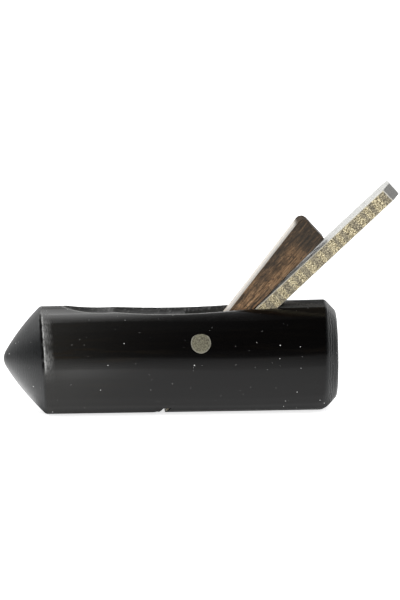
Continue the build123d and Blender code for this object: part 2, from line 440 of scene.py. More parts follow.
def ebony_material(stock):
    """Polished near-black wood, satin on its turned ends and grey where it is scuffed or sawn, with painted light:
    gouge marks lightened by a painted reflection in the hollow, a haze towards the nose that is wear and a painted
    highlight, painted highlights along the hollow's rim and behind the score line, and painted shade in the score
    line.
    """
    made, tree, shader = new_material("ebony")
    flat = place_in_mm(tree)
    streaks = noise(tree, place_in_mm(tree, stretch=(13, 1, 1)), 1.1, detail=6)
    fine = noise(tree, place_in_mm(tree, stretch=(12, 1, 1)), 5.0, detail=4)
    cloud = noise(tree, flat, 0.45, detail=3)
    fleck = noise(tree, flat, 2.6, detail=5, roughness=0.7)
    scratch = noise(tree, place_in_mm(tree, stretch=(0.5, 2.2, 2.2)), 2.4, detail=4, roughness=0.7)
    nose, heel, hollow, rim_highlight, scuff, haze, score, edge_highlight_band = (attribute(tree, name) for name in STOCK_LAYERS)
    ends = greater(tree, nose, heel)
    place = add(tree, "ShaderNodeSeparateXYZ", {0: flat})
    place_x, place_y, place_z = place.outputs
    slanted = times(tree, times_plus(tree, place_y, -0.3, place_x), 1.5)
    strokes = {0: slanted, 1: times(tree, place_y, 0.3), 2: place_z}
    stroke = add(tree, "ShaderNodeCombineXYZ", strokes).outputs[0]
    tooled = noise(tree, stroke, 1.0, detail=4, roughness=0.65, distortion=0.3)

    # Lighter towards the nose: dull wear, with a painted highlight in the colour.
    wood = blend(tree, haze, rgba(stock.ebony), rgba(stock.ebony_worn_and_lit))
    brown = times(tree, ramp(tree, streaks, 0.48, 0.66), ramp(tree, haze, 0.0, 0.4, 0.12, 0.6))
    belt = ramp(tree, unsigned(tree, minus(tree, place_z, BELT_Z)), 0.6, 2.6, 1.0, 0.3)
    brown = times(tree, brown, belt)
    wood = blend(tree, brown, wood, rgba(stock.ebony_streak))
    bare = blend(tree, ramp(tree, fleck, 0.35, 0.65), rgba(stock.bare_end, 0.5), rgba(stock.bare_end, 1.7))
    base = blend(tree, ends, wood, bare)
    # This grey is real scuffing, and also painted light in the hollow and along its rim.
    rubbed = rgba(stock.scuffed_and_lit)
    # Lighter grey gouge marks in the hollow: tool marks, and a painted reflection of the pale surroundings.
    base = blend(tree, times(tree, hollow, ramp(tree, tooled, 0.50, 0.70, 0.02, 0.5)), base, rubbed)
    base = blend(tree, times(tree, scuff, ramp(tree, scratch, 0.38, 0.60, 0.15, 1.0)), base, rubbed)
    # A painted highlight along the hollow's rim, in a lighter grey.
    rim_highlight_share = times(tree, rim_highlight, ramp(tree, fleck, 0.3, 0.55, 0.5, 1.0))
    base = blend(tree, rim_highlight_share, base, rgba(stock.scuffed_and_lit, 1.6))
    # A painted highlight: a ragged light grey band on the edge just behind the score line.
    base = blend(tree, times(tree, edge_highlight_band, ramp(tree, fleck, 0.38, 0.56, 0.2, 1.0)), base, rgba(stock.edge_highlight_grey))
    # Painted shade: the score line is painted near-black, darker than the wood.
    base = blend(tree, score, base, rgba(stock.score_shade))
    # The throat's walls. Nothing stops this colour at the bed, so a strip outside, behind the iron, takes it too.
    half_slot, lip_x = slot_half_width(stock), mouth_lip_x(stock)
    within = ramp(tree, unsigned(tree, place_y), half_slot + 0.06, half_slot + 0.01)
    past_lip = ramp(tree, times_plus(tree, place_z, -1 / tan(stock.wear_angle), place_x), lip_x, lip_x + 0.3)
    sawn = times(tree, times(tree, within, past_lip), ramp(tree, fleck, 0.3, 0.7, 0.5, 1.0))
    base = blend(tree, sawn, base, rgba(stock.sawn))

    rough = ramp(tree, cloud, 0.3, 0.7, 0.12, 0.165)
    rough = times_plus(tree, haze, 0.08, rough)
    dull = greater(tree, times(tree, nose, 0.45), times(tree, heel, 0.45))
    dull = greater(tree, dull, greater(tree, hollow, greater(tree, scuff, rim_highlight)))
    rough = times_plus(tree, dull, 0.27, rough)
    rough = maths(tree, "MULTIPLY_ADD", score, 0.7, rough, clamp=True)

    wander = times_plus(tree, cloud, 1.3, place_x)
    rings, fine_rings = (sine(tree, times(tree, wander, 2 * pi / step)) for step in RING_STEPS)
    turned = times(tree, maths(tree, "ADD", rings, fine_rings), times_plus(tree, nose, -0.8, ends))
    height = times_plus(tree, turned, 1.5, times(tree, fine, 0.5))
    for marks, where, strength in ((tooled, hollow, 6.0), (scratch, scuff, 2.5), (fleck, nose, 2.5)):
        height = times_plus(tree, times(tree, marks, where), strength, height)
    wire(tree, shader, base, rough, height, bump=0.00001)
    shader.inputs["IOR"].default_value = 1.43
    return made


def extent(node, tilt):
    """A CAD node's lowest and highest (distance along, distance off) a line at the tilt, in millimetres."""
    points = [v.co for v in frame["nodes"][node].data.vertices]
    turned = [(p.x * cos(tilt) + p.z * sin(tilt), p.z * cos(tilt) - p.x * sin(tilt)) for p in points]
    return [[pick(values) / MM for values in zip(*turned)] for pick in (min, max)]


def iron_material(iron):
    """Steel with a smooth dull face, a scaled back, and sides mottled and banded with pits, scale and old rust."""
    made, tree, shader = new_material("old_steel")
    along = place_in_mm(tree, BED_ANGLE)
    parts = add(tree, "ShaderNodeSeparateXYZ", {0: along})
    from_middle = unsigned(tree, parts.outputs[1])
    side = ramp(tree, from_middle, IRON_HALF_WIDTH - 0.22, IRON_HALF_WIDTH - 0.06)
    grains = noise(tree, along, 2.5, detail=3, roughness=0.8)
    speck = noise(tree, place_in_mm(tree, BED_ANGLE, stretch=(0.8, 1, 1.3)), 4.2, detail=2, roughness=0.8)
    broad = noise(tree, place_in_mm(tree, BED_ANGLE, stretch=(1, 9, 9)), 0.20, detail=1)
    narrow = noise(tree, place_in_mm(tree, BED_ANGLE, stretch=(1, 9, 3)), 1.6, detail=3)
    cloud = noise(tree, along, 0.5, detail=4)

    pale = blend(tree, ramp(tree, grains, 0.40, 0.60), rgba(iron.rust), rgba(iron.light_rust))
    mottle = blend(tree, ramp(tree, speck, 0.43, 0.55), rgba(iron.pitted), pale)
    along_x = parts.outputs[0]
    wander = times_plus(tree, minus(tree, broad, 0.5), 4.0, along_x)
    beat = sine(tree, times(tree, wander, 2 * pi * MM / iron.band))
    beat = times_plus(tree, minus(tree, narrow, 0.5), 2.2, beat)
    banded = times(tree, ramp(tree, beat, 0.05, 0.4), ramp(tree, grains, 0.35, 0.6, 0.9, 0.45))
    dark_band = blend(tree, ramp(tree, speck, 0.42, 0.58), rgba(iron.dark_band), rgba(iron.light_band))
    mottle = blend(tree, banded, mottle, dark_band)
    (_, back), (end_x, front) = extent("iron", BED_ANGLE)
    thick = front - back
    from_back = minus(tree, parts.outputs[2], back)
    edges = greater(tree, ramp(tree, from_back, 0.26, 0.12), ramp(tree, from_back, thick - 0.30, thick - 0.14))
    mottle = blend(tree, times(tree, edges, 0.75), mottle, rgba(iron.rubbed))
    face = blend(tree, ramp(tree, cloud, 0.4, 0.75, 0.0, 0.5), rgba(iron.steel), rgba(iron.worn_steel))
    scale = blend(tree, ramp(tree, grains, 0.4, 0.6), rgba(iron.scale), rgba(iron.light_scale))
    face = blend(tree, ramp(tree, from_back, 0.3, 0.15), face, scale)
    base = blend(tree, side, face, mottle)
    corner = iron.corner / MM
    to_side = minus(tree, IRON_HALF_WIDTH, from_middle)
    to_corner = maths(tree, "ADD", minus(tree, end_x, along_x), to_side)
    clipped = ramp(tree, to_corner, corner + 0.5, corner + 0.3)
    ring = times(tree, clipped, ramp(tree, to_corner, corner + 0.12, corner + 0.28))
    base = blend(tree, clipped, base, rgba(iron.clipped))
    base = blend(tree, ring, base, rgba(iron.clipped_rim))
    polish = {"Factor": side, 2: ramp(tree, cloud, 0.3, 0.7, 0.16, 0.26), 3: 0.6}
    rough = add(tree, "ShaderNodeMix", polish, data_type="FLOAT").outputs[0]
    metallic = times(tree, ramp(tree, side, 0.0, 1.0, 0.45, 0.1), ramp(tree, clipped, 0.0, 1.0, 1.0, 0.1))
    height = times(tree, maths(tree, "ADD", grains, speck), ramp(tree, side, 0.0, 1.0, 0.06, 1.0))
    wire(tree, shader, base, rough, height, bump=0.00007, metallic=metallic)
    return made


WEDGE_GRAIN = radians(5)  # between the wedge's grain and the bed


def wedge_material(wedge):
    """Worn brown hardwood with dark and light streaks, a painted highlight on its front face, and black with
    handling at its top.
    """
    made, tree, shader = new_material("worn_hardwood")
    lean = BED_ANGLE + WEDGE_GRAIN
    along = place_in_mm(tree, lean)
    front = place_in_mm(tree, FRONT_ANGLE)
    broad = noise(tree, place_in_mm(tree, lean, stretch=(10, 1, 1)), 0.8, detail=4)
    narrow = noise(tree, place_in_mm(tree, lean, stretch=(9, 1, 1)), 2.8, detail=4, roughness=0.8)
    pores = noise(tree, place_in_mm(tree, lean, stretch=(2.2, 1, 1)), 3.8, detail=3, roughness=0.85)
    cloud = noise(tree, along, 0.4, detail=4)
    reach, place_y, _ = add(tree, "ShaderNodeSeparateXYZ", {0: along}).outputs
    place_z = add(tree, "ShaderNodeSeparateXYZ", {0: place_in_mm(tree)}).outputs[2]
    rise = add(tree, "ShaderNodeSeparateXYZ", {0: front}).outputs[2]
    top_along = extent("wedge", lean)[1][0]

    wood = blend(tree, ramp(tree, broad, 0.34, 0.58, 0.35, 1.0), rgba(wedge.streak), rgba(wedge.heart))
    wood = blend(tree, ramp(tree, narrow, 0.50, 0.66, 0.0, 0.8), wood, rgba(wedge.pale))
    wood = blend(tree, ramp(tree, narrow, 0.49, 0.38, 0.0, 0.9), wood, rgba(wedge.streak))
    wood = blend(tree, ramp(tree, pores, 0.50, 0.62, 0.0, 0.85), wood, rgba(wedge.streak))
    wood = blend(tree, ramp(tree, reach, top_along - 26, top_along - 9, 0.0, 0.45), wood, rgba(wedge.streak))
    from_front = minus(tree, extent("wedge", FRONT_ANGLE)[1][1], rise)
    reach = times_plus(tree, minus(tree, cloud, 0.5), 5.0, reach)
    handled = ramp(tree, reach, top_along - 8.5, top_along - 4.0, 0.0, 0.85)
    inset = times_plus(tree, minus(tree, cloud, 0.5), 3.0, from_front)
    upper_part = ramp(tree, reach, top_along - 30, top_along - 15, 0.0, 0.75)
    edge_grime = times(tree, ramp(tree, inset, 2.9, 1.3), upper_part)
    soiled = times(tree, greater(tree, handled, edge_grime), ramp(tree, narrow, 0.40, 0.62, 1.0, 0.7))
    base = blend(tree, soiled, wood, rgba(wedge.grime))
    # A painted highlight on the front face, paler towards +Y, ending below the top.
    front_face = ramp(tree, from_front, 0.16, 0.05)
    high_z = WEDGE_HIGH.z / MM
    front_face = times(tree, front_face, ramp(tree, place_z, high_z - 0.4, high_z - 1.9))
    front_highlight_colour = blend(tree, ramp(tree, place_y, -3.2, 1.5), rgba(wedge.highlighted, 0.48), rgba(wedge.highlighted))
    base = blend(tree, times(tree, front_face, ramp(tree, narrow, 0.3, 0.7, 1.0, 0.75)), base, front_highlight_colour)
    rough = ramp(tree, narrow, 0.3, 0.7, 0.30, 0.46)
    rough = times_plus(tree, front_face, -0.16, rough)
    rough = greater(tree, rough, ramp(tree, place_z, high_z - 1.6, high_z - 0.8, 0.0, 0.9))
    height = times_plus(tree, pores, -0.9, narrow)
    wire(tree, shader, base, rough, height, bump=0.00005)
    shader.inputs["Specular IOR Level"].default_value = 0.22
    return made


def pin_material(pin):
    """Dull white metal, filed flush and pitted, with a lighter rim where the head was spread."""
    made, tree, shader = new_material("dull_white_metal")
    place = place_in_mm(tree)
    offset = vector_maths(tree, "SUBTRACT", place, tuple(PIN_CENTRE / MM))
    flat_offset = vector_maths(tree, "MULTIPLY", offset, (1, 0, 1))
    from_axis = vector_maths(tree, "LENGTH", flat_offset)
    cloud = noise(tree, place, 1.1, detail=4)
    pits = noise(tree, place, 3.6, detail=4, roughness=0.7)
    base = blend(tree, ramp(tree, cloud, 0.35, 0.7), rgba(pin.metal), rgba(pin.stained))
    base = blend(tree, ramp(tree, pits, 0.50, 0.64, 0.0, 0.7), base, rgba(pin.pitted))
    base = blend(tree, ramp(tree, pits, 0.48, 0.38, 0.0, 0.6), base, rgba(pin.bright))
    at_rim = ramp(tree, from_axis, PIN_HEAD_R - 0.42, PIN_HEAD_R - 0.1, 0.0, 0.55)
    base = blend(tree, at_rim, base, rgba(pin.rim))
    rough = ramp(tree, pits, 0.3, 0.7, 0.38, 0.55)
    wire(tree, shader, base, rough, pits, bump=0.00003, metallic=0.35)
    return made


def dust_material(dust):
    """Pale lint."""
    made, tree, shader = new_material("pale_dust")
    share = noise(tree, place_in_mm(tree), 0.9)
    base = blend(tree, ramp(tree, share, 0.35, 0.65), rgba(dust.lint), rgba(dust.grit))
    rough = ramp(tree, share, 0.0, 1.0, 0.8, 0.95)
    wire(tree, shader, base, rough)
    return made


# ---------------------------------------------------------------- geometry node trees


def geometry_tree(name, sockets):
    """An empty geometry tree with a geometry input and output and the named inputs, and its two end nodes."""
    tree = bpy.data.node_groups.new(name, "GeometryNodeTree")
    tree.interface.new_socket("Geometry", in_out="INPUT", socket_type="NodeSocketGeometry")
    for socket, kind, default in sockets:
        made = tree.interface.new_socket(socket, in_out="INPUT", socket_type=kind)
        if default is not None:
            made.default_value = default
    tree.interface.new_socket("Geometry", in_out="OUTPUT", socket_type="NodeSocketGeometry")
    return tree, tree.nodes.new("NodeGroupInput"), tree.nodes.new("NodeGroupOutput")


def finish_tree(tree, geometry, start, end):
    """Ends a tree in Realize Instances and Set Material."""
    real = add(tree, "GeometryNodeRealizeInstances", {0: geometry}).outputs[0]
    inputs = {"Geometry": real, "Material": start.outputs["Material"]}
    painted = add(tree, "GeometryNodeSetMaterial", inputs).outputs[0]
    tree.links.new(painted, end.inputs[0])


def weathering_tree():
    """Pushes a surface in and out: furrows along a line, and pits where a second noise is high."""
    tree, start, end = geometry_tree(
        "Weathered surface",
        [
            ("Line Angle", "NodeSocketFloat", 0.0),
            ("Stretch", "NodeSocketFloat", 1.0),
            ("Furrow Depth", "NodeSocketFloat", 0.0),
            ("Furrow Size", "NodeSocketFloat", 1.0),
            ("Pit Depth", "NodeSocketFloat", 0.0),
            ("Pit Size", "NodeSocketFloat", 1.0),
            ("Seed", "NodeSocketFloat", 0.0),
            ("Material", "NodeSocketMaterial", None),
        ],
    )
    given = start.outputs
    place = add(tree, "GeometryNodeInputPosition").outputs[0]
    scaled = add(tree, "ShaderNodeVectorMath", {0: place, "Scale": 1 / MM}, operation="SCALE").outputs[0]
    turn = {"Vector": scaled, "Axis": (0, 1, 0), "Angle": given["Line Angle"]}
    turned = add(tree, "ShaderNodeVectorRotate", turn).outputs[0]
    stretch = add(tree, "ShaderNodeCombineXYZ", {0: given["Stretch"], 1: 1.0, 2: 1.0}).outputs[0]
    long_place = vector_maths(tree, "DIVIDE", turned, stretch)

    def lumps(where, size, detail):
        """Noise from -0.5 to 0.5 with lumps of a size in millimetres."""
        inputs = {"Vector": where, "W": given["Seed"], "Scale": maths(tree, "DIVIDE", 1.0, size), "Detail": detail}
        made = add(tree, "ShaderNodeTexNoise", inputs, noise_dimensions="4D")
        return minus(tree, made.outputs["Fac"], 0.5)

    furrows = times(tree, lumps(long_place, given["Furrow Size"], 3.0), given["Furrow Depth"])
    pitted = ramp(tree, lumps(turned, given["Pit Size"], 4.0), 0.02, 0.22)
    pits = times(tree, pitted, given["Pit Depth"])
    rise = minus(tree, furrows, pits)
    normal = add(tree, "GeometryNodeInputNormal").outputs[0]
    push = add(tree, "ShaderNodeVectorMath", {0: normal, "Scale": rise}, operation="SCALE").outputs[0]
    moved = add(tree, "GeometryNodeSetPosition", {"Geometry": given["Geometry"], "Offset": push}).outputs[0]
    finish_tree(tree, moved, start, end)
    return tree


def dust_tree():
    """Scatters small flattened specks over the faces of a surface."""
    tree, start, end = geometry_tree(
        "Scattered specks",
        [
            ("Density", "NodeSocketFloat", 1000.0),
            ("Radius", "NodeSocketFloat", 0.0001),
            ("Seed", "NodeSocketInt", 0),
            ("Material", "NodeSocketMaterial", None),
        ],
    )
    given = start.outputs
    inputs = {"Mesh": given["Geometry"], "Density": given["Density"], "Seed": given["Seed"]}
    scatter = add(tree, "GeometryNodeDistributePointsOnFaces", inputs, distribute_method="RANDOM")
    speck = add(tree, "GeometryNodeMeshIcoSphere", {"Radius": given["Radius"], "Subdivisions": 1}).outputs[0]
    inputs = {2: 0.0, 3: 1.0, "Seed": given["Seed"]}
    chance = add(tree, "FunctionNodeRandomValue", inputs, data_type="FLOAT").outputs[1]
    size = ramp(tree, maths(tree, "POWER", chance, 3.0), 0.0, 1.0, 0.3, 1.0)
    shape = add(tree, "ShaderNodeCombineXYZ", {0: size, 1: size, 2: times(tree, size, 0.35)}).outputs[0]
    points, _, rotation = scatter.outputs
    inputs = {"Points": points, "Instance": speck, "Rotation": rotation, "Scale": shape}
    specks = add(tree, "GeometryNodeInstanceOnPoints", inputs).outputs[0]
    finish_tree(tree, specks, start, end)
    return tree


def run_tree(obj, tree, values):
    """Runs a geometry tree on an object with the named values, and keeps the result as the object's own mesh."""
    modifier = obj.modifiers.new(tree.name, "NODES")
    modifier.node_group = tree
    for item in tree.interface.items_tree:
        if item.in_out == "INPUT" and item.name in values:
            modifier[item.identifier] = values[item.name]
    return evaluated(obj)


def found_tree(name, make):
    """The tree of that name, made on first use."""
    return bpy.data.node_groups.get(name) or make()


# ---------------------------------------------------------------- stock


def smooth_less(a, b, width):
    """The lesser of a and b, with the corner between them rounded over a width, and how near the corner is."""
    share = np.clip(0.5 + 0.5 * (b - a) / width, 0, 1)
    corner = share * (1 - share)
    return b * (1 - share) + a * share - width * corner, 4 * corner, 1 - share


def turned_profile(stock, total, step):
    """Points (along the turning line, radius) of the turned outline, closest where it meets the planed bar."""
    tip_r = stock.nose_tip_r / MM
    side_r = stock.nose_side_r / MM
    face_r = stock.heel_face_r / MM
    dome = stock.heel_dome / MM
    slope = stock.nose_tip_slope
    widest = stock.heel_end_d / MM / 2 + 2 * stock.nose_rise / MM
    ball = np.linspace(pi / 2, slope, 20)
    tip = np.stack([tip_r * (1 - np.sin(ball)), tip_r * np.cos(ball)], -1)
    centre = tip[-1] + side_r * np.array([sin(slope), -cos(slope)])
    swell = np.linspace(slope, np.arccos((widest - centre[1]) / side_r), 60)
    side = centre + side_r * np.stack([-np.sin(swell), np.cos(swell)], -1)
    bevel_start = total - dome - (widest - face_r) / tan(stock.heel_bevel)
    face = np.linspace(1, 0, 40)
    domed = np.stack([total - dome * face**2, face_r * face], -1)
    outline = np.concatenate([tip, side[1:], [[bevel_start, widest]], domed])
    run = np.concatenate([[0], np.cumsum(np.hypot(*np.diff(outline, axis=0).T))])
    even = np.linspace(0, run[-1], int(run[-1] / step))
    radius = np.interp(even, run, outline[:, 1])
    short = radius - widest
    near_bar = np.exp(-(((short + 1.1) / 0.55) ** 2)) + np.exp(-(((short + 2.4) / 1.2) ** 2)) * 0.4
    count = np.cumsum(1 + 2.0 * near_bar)
    chosen = np.interp(np.linspace(count[0], count[-1], int(count[-1])), count, even)
    points = np.stack([np.interp(chosen, run, outline[:, k]) for k in (0, 1)], -1)
    mirrored = points * [1, -1]
    window = 5
    padded = np.concatenate([mirrored[window:0:-1], points, mirrored[-2 : -window - 2 : -1]])
    kernel = np.hanning(window + 2)[1:-1]
    kernel /= kernel.sum()
    trim = window - window // 2
    eased = np.stack([np.convolve(padded[:, k], kernel, "valid")[trim:-trim] for k in (0, 1)], -1)
    eased[0] = points[0]
    eased[-1] = points[-1]
    return eased


def planed_facets(angle, along, rng, count=30):
    """How far a round bar's surface lies under its full radius, in radii, where a plane left flats along it."""
    widths = rng.uniform(0.7, 1.3, count)
    edges = np.concatenate([[0], np.cumsum(widths)]) / widths.sum() * 2 * pi
    skew = 0.05 * np.sin(along / 31 + 1.3) + 0.02 * np.sin(along / 9)
    turned = np.mod(angle + skew, 2 * pi)
    which = np.clip(np.searchsorted(edges, turned, side="right") - 1, 0, count - 1)
    middle = (edges[which] + edges[which + 1]) / 2
    half = (edges[which + 1] - edges[which]) / 2
    return 1 - np.cos(half) / np.cos(turned - middle)


def gouge_flutes(x, y, gouge_r, rng, passes=9):
    """Height of the ridges that a gouge left between its cuts, each a little off its line and a little wavy."""
    height = np.full(x.shape, 1e9)
    for middle in np.linspace(-6.4, 6.4, passes):
        line = middle + rng.uniform(-0.3, 0.3) + 0.25 * np.sin(x / rng.uniform(5, 9) + rng.uniform(0, 6))
        depth = 0.05 * np.sin(x / rng.uniform(1.2, 2.2) + rng.uniform(0, 6)) + rng.uniform(-0.04, 0.04)
        height = np.minimum(height, (y - line) ** 2 / (2 * gouge_r) + depth)
    return height


def grid_quads(first, count, sides):
    """The numbers of the points in each ring, from the first, and the faces between the rings."""
    grid = first + np.arange(count * sides).reshape(count, sides)
    after = np.roll(grid, -1, axis=1)
    return grid, after, np.stack([grid[:-1], after[:-1], after[1:], grid[1:]], -1).reshape(-1, 4).tolist()


def add_layer(mesh, name, values):
    """Holds a value at each of a mesh's points."""
    mesh.attributes.new(name, "FLOAT", "POINT").data.foreach_set("value", values.astype(np.float32))


def grid_mesh(name, rings, layers):
    """A closed mesh of rings of points, single points at both ends, with a layer of values for each name."""
    count, sides = rings.shape[:2]
    points = np.concatenate([rings[:1, 0], rings[1:-1].reshape(-1, 3), rings[-1:, 0]])
    grid, after, quads = grid_quads(1, count - 2, sides)
    last = len(points) - 1
    start = [(0, int(b), int(a)) for a, b in zip(grid[0], after[0])]
    end = [(last, int(a), int(b)) for a, b in zip(grid[-1], after[-1])]
    mesh = bpy.data.meshes.new(name)
    mesh.from_pydata(points.tolist(), [], start + quads + end)
    for layer, values in layers.items():
        add_layer(mesh, layer, np.concatenate([values[:1, 0], values[1:-1].ravel(), values[-1:, 0]]))
    with editing(mesh) as work:
        bmesh.ops.recalc_face_normals(work, faces=work.faces)
    return mesh


def hollow_floor(x, y, middle_x, depth, long_r, gouge_r, top):
    """Height of one of the hollow's arcs, gouged to a depth under the stock's top."""
    across = long_r - gouge_r + np.sqrt(np.maximum(gouge_r**2 - y**2, 0.01))
    from_middle = np.minimum(np.abs(x - middle_x), across)
    return top(middle_x) - depth + long_r - np.sqrt(across**2 - from_middle**2)


# How strong the scuff behind the nose is, by angle round from the top of the bar, in radians.
SCUFF_ROUND = (
    [0, 0.3, 0.6, 0.77, 0.92, 1.0, 1.08, 1.18, 1.25, 1.32, 1.4, 1.5, 1.57, 1.62, 1.68, 1.75, 1.9],
    [0.15, 0.2, 0.35, 0.9, 1.0, 0.85, 0.65, 0.42, 0.55, 0.85, 1.0, 1.0, 0.8, 0.5, 0.22, 0.12, 0.0],
)
# In millimetres.
PROFILE_STEP = 0.37
NOSE_LENGTH = 8.6  # from the nose's tip to the score line at the top of the bar
NOSE_LEAN = 0.065  # how much further back the score line lies for each millimetre down
SCORE_DEPTH = 0.35
CRISP = 0.12  # rounding where the sole and the hollow are cut
FLUTE_FADE = 0.9  # depth under the rim at which the flutes have their full height
RIM_HIGHLIGHT_WIDTH = 0.33
RIM_HIGHLIGHT_END_X = 19  # the painted highlight along the hollow's rim ends here
SLOT_EASE, SLOT_EASE_WIDTH = 0.14, 0.3
LIP_EASE, LIP_EASE_WIDTH = 0.16, 0.45

# Numbers of points and shares.
RING_POINTS = 280
FACET_SHARE = 0.55  # how much of its depth is left of each flat that the plane made


def slot_half_width(stock):
    """Half the width of the throat, in millimetres."""
    return IRON_HALF_WIDTH + stock.cheek_gap / MM


def mouth_lip_x(stock):
    """X of the mouth's front lip, in millimetres."""
    return EDGE_X - stock.mouth_gap / MM


def stock_mesh(stock):
    """The stock without its throat: a planed bar with turned ends, a flat sole and a gouged hollow.

    In millimetres.
    """
    rng = np.random.default_rng(stock.seed)
    nose_x = STOCK_LOW.x / MM
    total = (STOCK_HIGH.x - STOCK_LOW.x) / MM
    nose_d = stock.nose_end_d / MM
    heel_d = stock.heel_end_d / MM
    mean_r = (nose_d + heel_d) / 4
    sink = mean_r - (mean_r**2 - (stock.sole_flat_w / MM / 2) ** 2) ** 0.5
    profile = turned_profile(stock, total, PROFILE_STEP)
    turn = np.linspace(0, 2 * pi, RING_POINTS, endpoint=False)
    angle = turn + 0.3 * np.sin(turn)
    along, radius = profile[:, :1], profile[:, 1:]
    start_z = nose_d / 2 - sink + stock.nose_rise / MM
    end_z = heel_d / 2 - sink + stock.heel_rise / MM
    tilt = np.arctan2(end_z - start_z, total)
    down = -np.cos(angle) * radius
    x = nose_x + along * np.cos(tilt) - down * np.sin(tilt)
    y = np.sin(angle) * radius
    z = start_z + along * np.sin(tilt) + down * np.cos(tilt)

    # The planed bar, crisp where it meets the nose, and worn round where it meets the bottom of the heel.
    from_nose = x - nose_x
    share = from_nose / total
    bar_r = (nose_d + (heel_d - nose_d) * share) / 2
    bar_z = bar_r - sink
    rise = z - bar_z
    out = np.hypot(y, rise)
    around = np.arctan2(y, rise)
    facet = planed_facets(around, x, rng)
    wave = 0.008 * np.sin(x / 6.1 + 2 * np.sin(around * 3)) + 0.005 * np.sin(around * 7 + x / 15)
    limit = bar_r * (1.004 - FACET_SHARE * facet) + wave
    under = np.clip(-rise / bar_r, 0, 1)
    rounding = 0.4 + (0.1 + 1.7 * under**3) * np.clip(share, 0, 1) ** 2
    kept, corner, on_bar = smooth_less(out, limit, rounding)

    # A score line where the nose was turned down, cut in and painted near-black as shade, with a ragged band
    # behind it painted as a highlight.
    front_side = np.where(y < 0, 1.0, 0.45)
    score_reach = np.clip((1.72 - np.abs(around)) / 0.25, 0, 1) * np.clip((np.abs(around) - 0.35) / 0.3, 0, 1)
    at_nose = np.where(share < 0.5, 1.0, 0.0)
    ragged = 1 + 0.25 * np.sin(around * 23) + 0.2 * np.sin(around * 41 + 1)
    score = np.clip(at_nose * corner**2 * score_reach * front_side * ragged, 0, 1)
    kept = kept - SCORE_DEPTH * score
    scale = np.where(out > 1e-6, kept / np.maximum(out, 1e-6), 1)
    y = y * scale
    z = bar_z + rise * scale

    # The flat of the sole.
    flat, _, _ = smooth_less(-z, np.zeros_like(z), CRISP)
    z = -flat

    # The finger hollow, gouged from the top.
    def top(where):
        """Height of the bar's top."""
        return nose_d + (heel_d - nose_d) * (where - nose_x) / total - sink

    gouge = stock.hollow_gouge_r / MM
    arcs = (
        (stock.hollow_x, stock.hollow_depth, stock.hollow_floor_r),
        (stock.start_x, stock.start_depth, stock.start_floor_r),
    )
    floor = np.minimum(*(hollow_floor(x, y, *(size / MM for size in arc), gouge, top) for arc in arcs))
    from_rim = np.clip((z - floor) / FLUTE_FADE, 0.06, 1)
    floor = floor + (gouge_flutes(x, y, stock.gouge_r / MM, rng) - 0.05) * from_rim
    upper = z > bar_z
    height = z - floor
    cut_z, _, not_cut = smooth_less(z, floor, CRISP)
    z = np.where(upper, cut_z, z)
    hollow = np.where(upper, not_cut, 0)
    # rim is a painted highlight along the hollow's rim, fading out towards the heel.
    rim = np.where(upper & (height < 0), np.exp(-((height / RIM_HIGHLIGHT_WIDTH) ** 2)), 0)
    rim = rim * np.clip((RIM_HIGHLIGHT_END_X - x) / 5, 0, 1)

    # Softened arrises of the throat, before it is cut.
    front_x = EDGE_X + (z / tan(stock.wear_angle)) - 0.9
    back_x = EDGE_X + z / tan(BED_ANGLE)
    outside = np.maximum(np.abs(y) - slot_half_width(stock), np.maximum(front_x - x, x - back_x))
    eased = SLOT_EASE * np.exp(-((np.maximum(outside, 0) / SLOT_EASE_WIDTH) ** 2))
    z = np.where(upper, z - eased, z)
    lip = np.exp(-(((x - mouth_lip_x(stock) + 0.25) / LIP_EASE_WIDTH) ** 2))
    z = np.where(z < 3.5, z + LIP_EASE * lip, z)

    # Where the surface is turned, gouged or scuffed, hazed by wear near the nose, and lit by a painted highlight
    # behind the score line.
    end_zone = 1 - on_bar
    nose = np.where(share < 0.5, end_zone, 0)
    heel = np.where(share > 0.5, end_zone, 0)
    behind = from_nose - NOSE_LENGTH - NOSE_LEAN * (bar_z + bar_r - z)
    wavy = 0.36 + 0.07 * np.sin(around * 19) + 0.05 * np.sin(around * 47 + 2)
    # A ragged band just behind the score line, where a highlight is painted.
    edge_highlight_band = np.where(share < 0.5, np.exp(-(((behind - wavy) / 0.25) ** 2)), 0) * score_reach * on_bar
    strength = np.interp(np.abs(around), *SCUFF_ROUND)
    uneven = 0.12 * np.sin(around * 17 + 0.6) + 0.08 * np.sin(around * 43)
    scuff = np.where(behind > -0.2, np.clip((2.7 + uneven - behind) / 1.7, 0, 1) * strength, 0)
    scuff = np.clip(scuff, 0, 1) * (1 - nose)
    # haze: wear towards the nose, which also paints a highlight there.
    haze = np.clip(1 - (from_nose - 8) / 62, 0, 1) ** 4
    score = np.clip(1.6 * score, 0, 1)
    layers = zip(STOCK_LAYERS, (nose, heel, hollow, rim, scuff, haze, score, edge_highlight_band))
    shape = np.stack(np.broadcast_arrays(x, y, z), -1)
    return grid_mesh("stock", shape, {name: np.broadcast_to(values, x.shape) for name, values in layers})


def pin_hole(pin):
    """The solid that the cross pin fills, a hair larger, in millimetres."""
    clear = 0.035
    centre = PIN_CENTRE / MM
    shank_r = pin.shank_d / MM / 2 + clear
    head_r = PIN_HEAD_R + clear
    reach = 20
    bar_r = PIN_HIGH.y / MM
    head_y = bar_r - pin.head_l / MM - 0.45
    outline = [
        (-reach, 0),
        (-reach, head_r),
        (-head_y, head_r),
        (-head_y + pin.flare_l / MM, shank_r),
        (head_y - pin.flare_l / MM, shank_r),
        (head_y, head_r),
        (reach, head_r),
        (reach, 0),
    ]
    return turned_solid("pin hole", centre.x, centre.z, outline)


